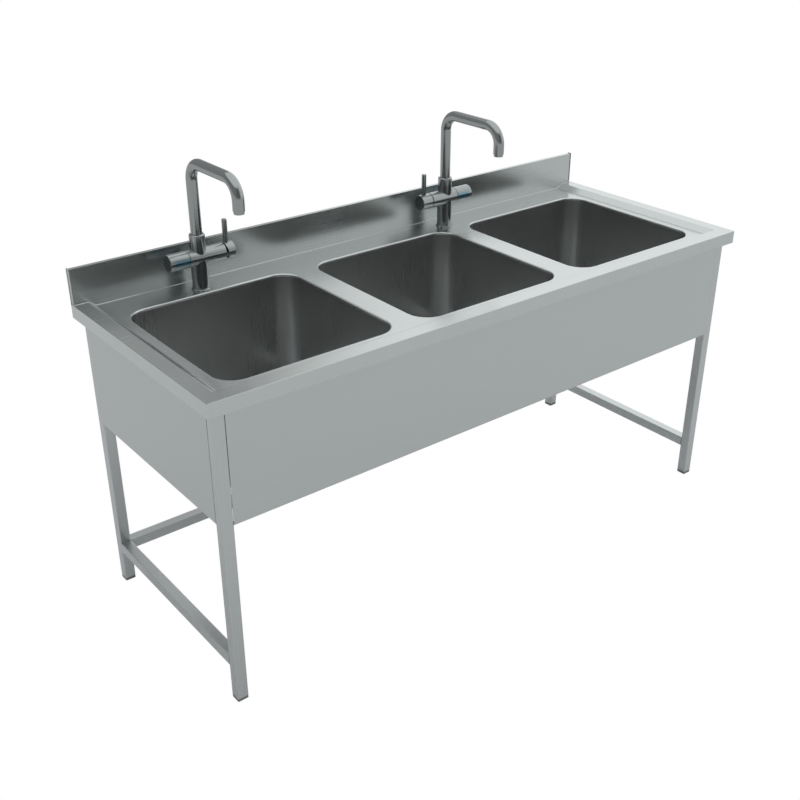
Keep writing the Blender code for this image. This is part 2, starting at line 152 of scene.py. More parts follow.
def place(grid, centre=(0, 0, 0), axis="Z", turn=1.0):
    # puts a grid made round Z at centre; axis X lays its height along X, reversed where turn is -1
    g = np.array(grid, float)
    if axis == "X":
        g = np.stack([g[..., 2] * turn, g[..., 1] * turn, -g[..., 0]], -1)
    return g + np.array(centre, float)


def showPiece(name, mesh, material, body, replaced, sheet=0.0, sharp=32.0):
    # links a finished mesh, smooth but for edges over the sharp angle, and hands it to its body
    obj = bpy.data.objects.new(name, mesh)
    bpy.context.scene.collection.objects.link(obj)
    mesh.materials.append(material)
    mesh.shade_smooth()
    mesh.set_sharp_from_angle(angle=math.radians(sharp))
    if sheet:
        wall = obj.modifiers.new("sheet", "SOLIDIFY")
        wall.thickness = sheet
        wall.offset = -1.0
    even = obj.modifiers.new("evenShading", "WEIGHTED_NORMAL")
    even.keep_sharp = True
    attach(obj, body)
    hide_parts(*replaced)
    return obj


def newGroup(name, inputs, outputs):
    # empty shader group with its named inputs and outputs
    group = bpy.data.node_groups.new(name, "ShaderNodeTree")
    for label, kind, value in inputs:
        socket = group.interface.new_socket(name=label, in_out="INPUT", socket_type=kind)
        if value is not None:
            socket.default_value = value
    for label, kind in outputs:
        group.interface.new_socket(name=label, in_out="OUTPUT", socket_type=kind)
    return group, group.nodes.new("NodeGroupInput"), group.nodes.new("NodeGroupOutput")


def mathNode(tree, kind, a, b=None, c=None, clamp=False):
    # one Math node; numbers go on its sockets, sockets are linked
    node = tree.nodes.new("ShaderNodeMath")
    node.operation = kind
    node.use_clamp = clamp
    for socket, value in zip(node.inputs, (a, b, c)):
        if value is None:
            continue
        if isinstance(value, (int, float)):
            socket.default_value = value
        else:
            tree.links.new(value, socket)
    return node.outputs[0]


def noiseNode(tree, vector, scale, detail=3.0, rough=0.5, distort=0.0):
    # noise between 0 and 1 at a scale per metre
    node = tree.nodes.new("ShaderNodeTexNoise")
    tree.links.new(vector, node.inputs["Vector"])
    node.inputs["Scale"].default_value = scale
    node.inputs["Detail"].default_value = detail
    node.inputs["Roughness"].default_value = rough
    node.inputs["Distortion"].default_value = distort
    return node.outputs["Fac"]


def rangeNode(tree, value, low, high, outLow=0.0, outHigh=1.0, smooth=True):
    # value from low to high turned into outLow to outHigh, eased at both ends where smooth
    node = tree.nodes.new("ShaderNodeMapRange")
    node.interpolation_type = "SMOOTHSTEP" if smooth else "LINEAR"
    tree.links.new(value, node.inputs["Value"])
    for label, number in (("From Min", low), ("From Max", high), ("To Min", outLow), ("To Max", outHigh)):
        node.inputs[label].default_value = number
    return node.outputs["Result"]


def buildSteelGroup():
    # satin steel: drawn grain along one way, soft handling smears and a few long hairline scratches
    group, source, sink = newGroup("satinSteel", [
        ("Vector", "NodeSocketVector", None), ("Stretch", "NodeSocketVector", (4.0, 400.0, 400.0)),
        ("Base", "NodeSocketColor", (0.6, 0.6, 0.6, 1)), ("Rough", "NodeSocketFloat", 0.3),
        ("Grain", "NodeSocketFloat", 0.05), ("Smear", "NodeSocketFloat", 0.05),
        ("Scratch", "NodeSocketFloat", 0.3)], [
        ("Color", "NodeSocketColor"), ("Roughness", "NodeSocketFloat"), ("Height", "NodeSocketFloat")])
    t = group
    stretch = t.nodes.new("ShaderNodeVectorMath")
    stretch.operation = "MULTIPLY"
    t.links.new(source.outputs["Vector"], stretch.inputs[0])
    t.links.new(source.outputs["Stretch"], stretch.inputs[1])
    grain = noiseNode(t, stretch.outputs[0], 1.0, 3.0, 0.65)
    cloud = noiseNode(t, source.outputs["Vector"], 3.5, 4.0, 0.55, 0.4)
    fine = noiseNode(t, source.outputs["Vector"], 60.0, 3.0, 0.6)
    lines = t.nodes.new("ShaderNodeTexWave")
    lines.wave_type = "BANDS"
    lines.bands_direction = "DIAGONAL"
    t.links.new(source.outputs["Vector"], lines.inputs["Vector"])
    lines.inputs["Scale"].default_value = 9.0
    lines.inputs["Distortion"].default_value = 28.0
    lines.inputs["Detail"].default_value = 2.0
    lines.inputs["Detail Scale"].default_value = 0.7
    hair = rangeNode(t, lines.outputs["Fac"], 0.992, 1.0)
    hair = mathNode(t, "MULTIPLY", hair, rangeNode(t, fine, 0.48, 0.62))
    hair = mathNode(t, "MULTIPLY", hair, source.outputs["Scratch"])
    grainCentred = mathNode(t, "SUBTRACT", grain, 0.5)
    cloudCentred = mathNode(t, "SUBTRACT", cloud, 0.5)
    shade = mathNode(t, "MULTIPLY_ADD", grainCentred, source.outputs["Grain"], 1.0)
    shade = mathNode(t, "MULTIPLY_ADD", cloudCentred, source.outputs["Smear"], shade)
    shade = mathNode(t, "MULTIPLY_ADD", hair, 0.25, shade)
    tint = t.nodes.new("ShaderNodeVectorMath")
    tint.operation = "SCALE"
    t.links.new(source.outputs["Base"], tint.inputs[0])
    t.links.new(shade, tint.inputs["Scale"])
    rough = mathNode(t, "MULTIPLY_ADD", cloudCentred, 0.14, source.outputs["Rough"])
    rough = mathNode(t, "MULTIPLY_ADD", grainCentred, 0.10, rough)
    rough = mathNode(t, "MULTIPLY_ADD", hair, 0.08, rough, clamp=True)
    height = mathNode(t, "MULTIPLY_ADD", hair, -0.6, grain)
    t.links.new(tint.outputs[0], sink.inputs["Color"])
    t.links.new(rough, sink.inputs["Roughness"])
    t.links.new(height, sink.inputs["Height"])
    return group


steelGroup = buildSteelGroup()


def newMaterial(name, metallic):
    # material with its Principled shader
    mat = bpy.data.materials.new(name)
    mat.use_nodes = True
    shader = mat.node_tree.nodes["Principled BSDF"]
    shader.inputs["Metallic"].default_value = metallic
    return mat, mat.node_tree, shader


def steelFinish(name, base, rough, stretch, grain=0.06, smear=0.10, scratch=0.3, bump=0.05):
    # steel of a base tint and roughness; stretch sets which way the drawn grain runs
    mat, tree, shader = newMaterial(name, 1.0)
    texturePlace = tree.nodes.new("ShaderNodeTexCoord")
    steel = tree.nodes.new("ShaderNodeGroup")
    steel.node_tree = steelGroup
    tree.links.new(texturePlace.outputs["Object"], steel.inputs["Vector"])
    steel.inputs["Stretch"].default_value = stretch
    steel.inputs["Base"].default_value = (*base, 1.0)
    steel.inputs["Rough"].default_value = rough
    steel.inputs["Grain"].default_value = grain
    steel.inputs["Smear"].default_value = smear
    steel.inputs["Scratch"].default_value = scratch
    tree.links.new(steel.outputs["Color"], shader.inputs["Base Color"])
    tree.links.new(steel.outputs["Roughness"], shader.inputs["Roughness"])
    relief = tree.nodes.new("ShaderNodeBump")
    relief.inputs["Strength"].default_value = bump
    relief.inputs["Distance"].default_value = 0.0004
    tree.links.new(steel.outputs["Height"], relief.inputs["Height"])
    tree.links.new(relief.outputs["Normal"], shader.inputs["Normal"])
    return mat


def mouldedFinish(name, base, rough, speckle=0.15, bump=0.2):
    # plastic or rubber with a faint cloud of tone and a fine moulded grain
    mat, tree, shader = newMaterial(name, 0.0)
    texturePlace = tree.nodes.new("ShaderNodeTexCoord")
    cloud = noiseNode(tree, texturePlace.outputs["Object"], 25.0, 4.0)
    fine = noiseNode(tree, texturePlace.outputs["Object"], 900.0, 2.0)
    shade = mathNode(tree, "MULTIPLY_ADD", mathNode(tree, "SUBTRACT", cloud, 0.5), speckle * 2, 1.0)
    tint = tree.nodes.new("ShaderNodeVectorMath")
    tint.operation = "SCALE"
    tint.inputs[0].default_value = base
    tree.links.new(shade, tint.inputs["Scale"])
    tree.links.new(tint.outputs[0], shader.inputs["Base Color"])
    tree.links.new(mathNode(tree, "MULTIPLY_ADD", cloud, 0.2, rough - 0.1), shader.inputs["Roughness"])
    relief = tree.nodes.new("ShaderNodeBump")
    relief.inputs["Strength"].default_value = bump
    relief.inputs["Distance"].default_value = 0.0003
    tree.links.new(fine, relief.inputs["Height"])
    tree.links.new(relief.outputs["Normal"], shader.inputs["Normal"])
    return mat


finishes = {
    "deck": steelFinish("deckSteel", (0.62, 0.65, 0.645), 0.25, (4, 420, 420), grain=0.06, smear=0.06, scratch=0.03,
                        bump=0.03),
    "bowl": steelFinish("bowlSteel", (0.54, 0.552, 0.55), 0.30, (260, 260, 5), grain=0.05, smear=0.10,
                        scratch=0.0, bump=0.012),
    "panel": steelFinish("panelSteel", (0.60, 0.625, 0.63), 0.36, (5, 5, 420), grain=0.05, smear=0.05, scratch=0.04,
                         bump=0.03),
    "frame": steelFinish("frameSteel", (0.60, 0.625, 0.63), 0.32, (300, 300, 6), grain=0.10, smear=0.08),
    "frameWide": steelFinish("frameSteelWide", (0.60, 0.625, 0.63), 0.32, (6, 300, 300), grain=0.14, smear=0.08),
    "frameDeep": steelFinish("frameSteelDeep", (0.60, 0.625, 0.63), 0.32, (300, 6, 300), grain=0.14, smear=0.08),
    "hidden": steelFinish("millSteel", (0.50, 0.51, 0.515), 0.42, (6, 300, 300), grain=0.12, smear=0.2),
    "tap": steelFinish("tapSteel", (0.375, 0.395, 0.395), 0.17, (250, 250, 30), grain=0.08, smear=0.08,
                       scratch=0.03, bump=0.02),
    "waste": steelFinish("wasteSteel", (0.60, 0.605, 0.60), 0.20, (200, 200, 200), grain=0.06, smear=0.15),
    "brass": steelFinish("machinedBrass", (0.66, 0.50, 0.24), 0.30, (900, 900, 60), grain=0.12, smear=0.2),
    "cap": mouldedFinish("footPlastic", (0.24, 0.245, 0.245), 0.5),
    "rubber": mouldedFinish("gasketRubber", (0.03, 0.03, 0.03), 0.75),
    "seal": mouldedFinish("sealPlastic", (0.012, 0.012, 0.013), 0.6),
    "nut": mouldedFinish("nutPlastic", (0.68, 0.68, 0.65), 0.45, speckle=0.06),
}


knobLook = {"tint": (0.17, 0.31, 0.40), "low": (0.9130, 0.9215), "high": (0.9290, 0.9400),
            "middleX": -0.147, "outer": (0.498, 0.508)}


def blueKnobFinish():
    # the tap steel with a cool band along the knob: within a range of heights, clear of the outer end
    mat = finishes["tap"].copy()
    mat.name = "knobSteel"
    tree = mat.node_tree
    shader = tree.nodes["Principled BSDF"]
    steel = shader.inputs["Base Color"].links[0].from_socket
    where = tree.nodes.new("ShaderNodeTexCoord")
    parts = tree.nodes.new("ShaderNodeSeparateXYZ")
    tree.links.new(where.outputs["Object"], parts.inputs[0])
    band = mathNode(tree, "MULTIPLY", rangeNode(tree, parts.outputs["Z"], *knobLook["low"]),
                    rangeNode(tree, parts.outputs["Z"], *knobLook["high"], 1.0, 0.0))
    reach = mathNode(tree, "ABSOLUTE", mathNode(tree, "SUBTRACT", parts.outputs["X"], knobLook["middleX"]))
    band = mathNode(tree, "MULTIPLY", band, rangeNode(tree, reach, *knobLook["outer"], 1.0, 0.0))
    mix = tree.nodes.new("ShaderNodeMix")
    mix.data_type = "RGBA"
    tree.links.new(band, mix.inputs["Factor"])
    tree.links.new(steel, mix.inputs["A"])
    mix.inputs["B"].default_value = (*knobLook["tint"], 1)
    tree.links.new(mix.outputs["Result"], shader.inputs["Base Color"])
    return mat


# painted shade on the left step's slope: where the darker line lies, how it fades out, and how dark it goes
paintedStepShadeLook = {"outer": (-0.8635, -0.8620), "inner": (-0.8412, -0.8400), "front": (-0.3000, -0.2860),
            "rear": (0.2000, 0.3100),
            "low": (0.8372, 0.8386), "high": (0.8484, 0.8496), "shade": 0.30}


def paintedStepShadeFinish():
    # the deck steel with painted shade on the slope of the step at the left: a darker line along the fold that
    # stands in for its shadow
    mat = finishes["deck"].copy()
    mat.name = "deckSteelPaintedStepShade"
    tree = mat.node_tree
    shader = tree.nodes["Principled BSDF"]
    steel = shader.inputs["Base Color"].links[0].from_socket
    where = tree.nodes.new("ShaderNodeTexCoord")
    parts = tree.nodes.new("ShaderNodeSeparateXYZ")
    tree.links.new(where.outputs["Object"], parts.inputs[0])
    # mask of the painted shade: on at the slope's heights, fading out at its sides, front and rear
    paintedShadeMask = rangeNode(tree, parts.outputs["Z"], *paintedStepShadeLook["low"])
    for edge, limits, ends in (("Z", "high", (1.0, 0.0)), ("X", "outer", (0.0, 1.0)), ("X", "inner", (1.0, 0.0)),
                               ("Y", "front", (0.0, 1.0)), ("Y", "rear", (1.0, 0.0))):
        paintedShadeMask = mathNode(tree, "MULTIPLY", paintedShadeMask, rangeNode(tree, parts.outputs[edge], *paintedStepShadeLook[limits], *ends))
    tone = tree.nodes.new("ShaderNodeVectorMath")
    tone.operation = "SCALE"
    tree.links.new(steel, tone.inputs[0])
    tree.links.new(mathNode(tree, "MULTIPLY_ADD", paintedShadeMask, paintedStepShadeLook["shade"] - 1.0, 1.0), tone.inputs["Scale"])
    tree.links.new(tone.outputs[0], shader.inputs["Base Color"])
    return mat


# deck steel carrying the painted shade on the left step
finishes["deckStep"] = paintedStepShadeFinish()
finishes["tapBlue"] = blueKnobFinish()

worktopLook = {"strip": 0.850, "deck": 0.8365, "turndown": 0.037, "upstand": 0.947, "sheet": 0.0012,
               "sideStrip": 0.038, "frontStrip": 0.042, "slope": 0.0215, "upstandDepth": 0.015,
               "bend": 0.0013, "rim": 0.0042, "holeRadius": 0.058, "ease": 0.16, "tuck": 0.0005,
               "fillet": 0.0016}
bowlSides = ("left", "centre", "right")
worktopLow, worktopHigh = span("worktop")
bowlCentres = {s: (span("bowl_" + s)[0] + span("bowl_" + s)[1]) / 2 for s in bowlSides}
bowlTop = span("bowl_left")[1][2]
holeHalf = (span("bowl_left")[1] - span("bowl_left")[0])[:2] / 2 - 0.0027


def foldLoop(inset, z, corner):
    # closed rectangle round the worktop, each side moved in by its own inset: side, front, rear
    side, front, rear = inset
    low, high = worktopLow + (side, front, 0), worktopHigh - (side, rear, 0)
    middle, half = (low + high) / 2, (high - low) / 2
    return roundedLoop(half[0], half[1], corner, z, middle[0], middle[1], perCorner=5)


def stepHeight(t):
    # height down the pressed step, t from 0 at the strip to 1 at the deck: an even slope with eased ends
    e = worktopLook["ease"]
    t = min(max(float(t), 0.0), 1.0)
    if t < e:
        fall = t * t / (2 * e)
    elif t > 1 - e:
        fall = (1 - e) - (1 - t) ** 2 / (2 * e)
    else:
        fall = t - e / 2
    return worktopLook["strip"] - (worktopLook["strip"] - worktopLook["deck"]) * fall / (1 - e)


def worktopFolds():
    # profile across the edge, from the turndown's lower lip up over the strip and down the slope,
    # its bends arcs, carried round the four sides as closed loops
    w = worktopLook
    top, low = w["strip"], w["strip"] - w["turndown"]
    profile = roundCorners([(0.0, low), (0.0, top), (0.05, top)], [0, w["bend"], 0], 6)
    loops = []
    for s, z in profile[:-1]:
        loops.append(foldLoop((s, s, s), z, max(0.0004, w["bend"] - s)))
    rim = w["upstandDepth"] - w["tuck"]
    for t in np.concatenate([[-0.04], np.linspace(0, 1, 19), [1.03]]):
        side, front = w["sideStrip"] + t * w["slope"], w["frontStrip"] + t * w["slope"]
        loops.append(foldLoop((side, front, rim), stepHeight(t), 0.0012 + 0.004 * max(0.0, min(t, 1.0))))
    return np.stack(loops)


def deckPatch(side, x0, x1):
    # deck round one bowl: loops blend from the rectangle x0..x1 to the opening's rounded outline,
    # then roll over the rim and down the short lip
    w = worktopLook
    y0 = worktopLow[1] + w["frontStrip"] + w["slope"]
    y1 = worktopHigh[1] - w["upstandDepth"] + w["tuck"]
    cx, cy = bowlCentres[side][:2]
    hx, hy = holeHalf + w["rim"]
    r = w["holeRadius"] + w["rim"]
    hole = roundedLoop(hx, hy, r, w["deck"], cx, cy, perCorner=17)
    outer = hole.copy()
    cornerX = np.where(hole[:, 0] > cx, cx + hx - r, cx - hx + r)
    cornerY = np.where(hole[:, 1] > cy, cy + hy - r, cy - hy + r)
    way = hole[:, :2] - np.stack([cornerX, cornerY], 1)
    way /= np.maximum(np.linalg.norm(way, axis=1, keepdims=True), 1e-9)
    limitX = np.where(way[:, 0] > 0, x1, x0) - cornerX
    limitY = np.where(way[:, 1] > 0, y1, y0) - cornerY
    with np.errstate(divide="ignore", invalid="ignore"):
        reach = np.minimum(np.where(np.abs(way[:, 0]) > 1e-9, limitX / way[:, 0], np.inf),
                           np.where(np.abs(way[:, 1]) > 1e-9, limitY / way[:, 1], np.inf))
    outer[:, 0] = cornerX + way[:, 0] * reach
    outer[:, 1] = cornerY + way[:, 1] * reach
    for k, (sx, sy) in enumerate(((x1, y1), (x0, y1), (x0, y0), (x1, y0))):
        block = np.arange(17 * k, 17 * (k + 1))
        nearest = block[np.argmin(np.hypot(outer[block, 0] - sx, outer[block, 1] - sy))]
        outer[nearest, :2] = (sx, sy)
    loops = [outer + (hole - outer) * t for t in (0.0, 0.5, 0.9, 0.985)]
    for a in arcAngles(0, 90, 8):
        out = w["rim"] * (1 - math.sin(a))
        loops.append(roundedLoop(holeHalf[0] + out, holeHalf[1] + out, w["holeRadius"] + out,
                                 w["deck"] - w["rim"] * (1 - math.cos(a)), cx, cy, perCorner=17))
    loops.append(roundedLoop(holeHalf[0], holeHalf[1], w["holeRadius"], w["deck"] - w["rim"] - 0.0023, cx, cy,
                             perCorner=17))
    return np.stack(loops)


def upstandGrid():
    # slim box with rounded edges: its outline in depth and height swept across, ends drawn in on an arc
    w = worktopLook
    r = 0.0019
    depth, low, high = w["upstandDepth"], w["strip"] - 0.0165, w["upstand"]
    half, middle = np.array([depth / 2, (high - low) / 2]), (worktopHigh[1] - depth / 2, (low + high) / 2)
    loops = []
    ends = [(worktopLow[0] + r * (1 - math.sin(a)), r * (1 - math.cos(a))) for a in arcAngles(0, 90, 5)]
    for x, shrink in ends + [(-x, s) for x, s in reversed(ends)]:
        inset = r - math.sqrt(max(0.0, r * r - (r - (x - worktopLow[0] if x < 0 else worktopHigh[0] - x)) ** 2))
        flat = roundedLoop(half[0] - inset, half[1] - inset, max(r - inset, 0.0003), 0.0, perCorner=7)
        loops.append(np.stack([np.full(len(flat), x), middle[0] + flat[:, 0], middle[1] + flat[:, 1]], 1))
    return np.stack(loops)


def filletGrid():
    # hollow quarter round between upstand and sheet, its foot following the strip, the step and the deck
    w = worktopLook
    r, face = w["fillet"], worktopHigh[1] - w["upstandDepth"]
    t = np.linspace(0, 1, 25)
    edge, turn = -worktopLow[0] - 0.0016, w["sideStrip"]
    left = np.concatenate([[-edge], -0.9 + turn + t * w["slope"]])
    x = np.concatenate([left, -left[::-1]])
    foot = np.array([w["strip"]] + [stepHeight(v) for v in t])
    foot = np.concatenate([foot, foot[::-1]])
    a = arcAngles(0, 90, 7)
    rows = []
    for depth, rise in [(r * 1.0, -0.0002)] + [(r - r * math.sin(v), r - r * math.cos(v)) for v in a] + [
            (-0.0002, r)]:
        rows.append(np.stack([x, np.full_like(x, face - depth), foot + rise], 1))
    return np.stack(rows)


def buildWorktop():
    # pressed sheet of folds and three deck patches, a hollow fillet and the upstand
    w = worktopLook
    deckX = worktopHigh[0] - w["sideStrip"] - w["slope"]
    part = (bowlCentres["centre"][0] + bowlCentres["right"][0]) / 2
    sheets = [{"grid": worktopFolds()}]
    for side, x0, x1 in (("left", -deckX, -part), ("centre", -part, part), ("right", part, deckX)):
        sheets.append({"grid": deckPatch(side, x0, x1)})
    mesh = gridMesh("worktopSheet", sheets, outward=False)
    bm = bmesh.new()
    bm.from_mesh(mesh)
    bmesh.ops.remove_doubles(bm, verts=bm.verts, dist=0.00001)
    bmesh.ops.recalc_face_normals(bm, faces=bm.faces)
    if sum(f.normal.z * f.calc_area() for f in bm.faces) < 0:
        bmesh.ops.reverse_faces(bm, faces=bm.faces)
    bm.to_mesh(mesh)
    bm.free()
    # the sheet takes the deck steel with painted shade along the left step's slope
    showPiece("worktopSheet", mesh, finishes["deckStep"], "frame", ["worktop"], sheet=w["sheet"])
    mesh = gridMesh("worktopFillet", [{"grid": filletGrid(), "closeColumns": False}], outward=False)
    if sum(p.normal.z * p.area for p in mesh.polygons) < 0:
        mesh.flip_normals()
    showPiece("worktopFillet", mesh, finishes["deck"], "frame", ["worktop"])
    mesh = gridMesh("worktopUpstand", [{"grid": upstandGrid(), "capFirst": True, "capLast": True}])
    showPiece("worktopUpstand", mesh, finishes["deck"], "frame", ["worktop"])


bowlLook = {"floor": 0.540, "floorBend": 0.025, "draft": 0.004, "cornerRadius": 0.058, "dish": 0.0075,
            "drain": 0.045, "sheet": 0.0012}


def bowlGrid(side):
    # wall loops of a rounded rectangle sink with a slight draft, turn in on the floor bend and morph to
    # the pressed round dish about the drain
    b = bowlLook
    cx, cy = bowlCentres[side][:2]
    hx, hy = holeHalf + 0.0015
    loops = []
    for t in np.linspace(0, 1, 9):
        z = bowlTop + t * (b["floor"] + b["floorBend"] - bowlTop)
        loops.append(roundedLoop(hx - t * b["draft"], hy - t * b["draft"], b["cornerRadius"], z, cx, cy,
                                 perCorner=17))
    for a in arcAngles(0, 90, 10)[1:]:
        inset = b["draft"] + b["floorBend"] * (1 - math.cos(a))
        loops.append(roundedLoop(hx - inset, hy - inset, b["cornerRadius"] + b["draft"] - inset,
                                 b["floor"] + b["floorBend"] * (1 - math.sin(a)), cx, cy, perCorner=17))
    edge, count = loops[-1], 68
    rim = circleLoop(0.068, b["floor"] - 0.0040, cx, cy, count)
    for t in np.linspace(0, 1, 9)[1:]:
        blend = edge + (rim - edge) * t
        loops.append(blend)
    dish = roundCorners([(0.068, -0.0040), (0.0635, -0.0045), (0.0600, -b["dish"]), (b["drain"], -b["dish"])],
                        [0, 0.003, 0.003, 0], 5)
    for r, drop in dish[1:]:
        loops.append(circleLoop(r, b["floor"] + drop, cx, cy, count))
    return np.stack(loops)


def buildBowls():
    # one open shell for each bowl, thickened outwards
    for side in bowlSides:
        mesh = gridMesh("bowlShell_" + side, [{"grid": bowlGrid(side)}], outward=False)
        if sum(p.normal.z * p.area for p in mesh.polygons) < 0:
            mesh.flip_normals()
        showPiece("bowlShell_" + side, mesh, finishes["bowl"], "frame", ["bowl_" + side],
                  sheet=bowlLook["sheet"])


def buildWastes():
    # cup and tail of each waste: one closed profile (radius, height) swung round the drain's axis
    for side in bowlSides:
        low, high = span("waste_body_" + side)
        cx, cy, top = (low[0] + high[0]) / 2, (low[1] + high[1]) / 2, high[2]
        seat = top - 0.0021
        outer = roundCorners([(0.0412, 0.0006), (0.0445, 0.0021), (0.0555, 0.0021), (0.0565, 0.0003),
                              (0.0430, 0.0003), (0.0430, -0.0450), (0.0200, -0.0510), (0.0200, -0.0850),
                              (0.0180, -0.0850), (0.0180, -0.0490), (0.0412, -0.0430)],
                             [0.001, 0.0008, 0.0007, 0.0003, 0.0004, 0.003, 0.002, 0.0004, 0.0004, 0.002, 0.003],
                             5, closed=True)
        mesh = gridMesh("wasteCup_" + side, [{"grid": place(turnedGrid(outer), (cx, cy, seat)),
                                              "closeRows": True}])
        showPiece("wasteCup_" + side, mesh, finishes["waste"], "frame", ["waste_body_" + side])


tapLook = {"deck": 0.8365, "axisZ": 0.9258, "column": 0.0224, "barrel": 0.0230, "collar": 0.0210,
           "spout": 0.0150, "spoutWall": 0.0014, "spoutBend": 0.048, "rodAt": 0.083, "steps": 72}
tapSides = {"left": 1.0, "right": -1.0}    # the way each lever points along X


def hubOf(side):
    # where the tap's column meets its barrel's centre line
    low, high = span("tap_base_ring_" + side)
    return np.array([(low[0] + high[0]) / 2, (low[1] + high[1]) / 2, tapLook["axisZ"]])


def turnedPiece(name, profile, centre, finish, body, replaced, axis="Z", turn=1.0, radii=0.0005,
                closed=False):
    # a profile (radius, height) with rounded corners, swung once round its axis
    line = roundCorners(profile, radii, 5, closed=closed)
    grid = place(turnedGrid(line, tapLook["steps"]), centre, axis, turn)
    mesh = gridMesh(name, [{"grid": grid, "closeRows": closed}])
    return showPiece(name, mesh, finish, body, replaced)


def spoutCentreLine(side):
    # up, round a quarter bend, forward, round a second quarter bend and down: heights from the axis
    low, high = span("spout_" + side)
    r, b = tapLook["spout"], tapLook["spoutBend"]
    hub = hubOf(side)
    top, reach = high[2] - hub[2] - r, hub[1] - low[1] - r
    foot, tip = low[2] - hub[2], span("aerator_" + side)[0][2] - hub[2] + 0.007
    points = [(0.0, foot), (0.0, top - b)]
    points += [(b - b * math.cos(a), top - b + b * math.sin(a)) for a in arcAngles(0, 90, 19)[1:]]
    points += [(reach - b + b * math.sin(a), top - b + b * math.cos(a)) for a in arcAngles(0, 90, 19)]
    points += [(reach, tip + 0.0008), (reach, tip)]
    return np.array(points), hub


def spoutGrid(side, radius, flip=False):
    # circles square to the centre line, their side axis along X
    line, hub = spoutCentreLine(side)
    way = np.gradient(line, axis=0)
    way /= np.linalg.norm(way, axis=1, keepdims=True)
    a = 2 * np.pi * np.arange(56) / 56
    out = radius * np.cos(a)
    x = hub[0] + radius * np.sin(a)[None] * np.ones(len(line))[:, None]
    y = hub[1] - (line[:, :1] - way[:, 1:] * out[None])
    z = hub[2] + line[:, 1:] + way[:, :1] * out[None]
    grid = np.stack([x, y, z], 2)
    return grid[::-1] if flip else grid


def saddleCollar(side):
    # tube whose lower edge follows the barrel: at angle t its foot stands at the barrel's own height there
    hub = hubOf(side)
    a = 2 * np.pi * np.arange(96) / 96
    barrel = tapLook["barrel"] + 0.0003
    loops = []

    def foot(r):
        return np.sqrt(barrel ** 2 - (r * np.sin(a)) ** 2)
    top = span("spout_collar_" + side)[1][2] - hub[2]
    outer, inner = tapLook["collar"], 0.0154
    heights = [(outer, t) for t in (0.0, 0.03, 0.5, 1.0)]
    for r, t in heights:
        z = foot(r) + t * (top - 0.0030 - foot(r))
        loops.append(np.stack([hub[0] + r * np.cos(a), hub[1] + r * np.sin(a), hub[2] + z], 1))
    for r, z in ((outer - 0.0006, top - 0.0018), (outer - 0.0018, top - 0.0006), (outer - 0.0030, top),
                 (inner + 0.0004, top), (inner, top - 0.0004)):
        loops.append(np.stack([hub[0] + r * np.cos(a), hub[1] + r * np.sin(a), np.full(96, hub[2] + z)], 1))
    loops.append(np.stack([hub[0] + inner * np.cos(a), hub[1] + inner * np.sin(a), hub[2] + foot(inner)], 1))
    return np.stack(loops)


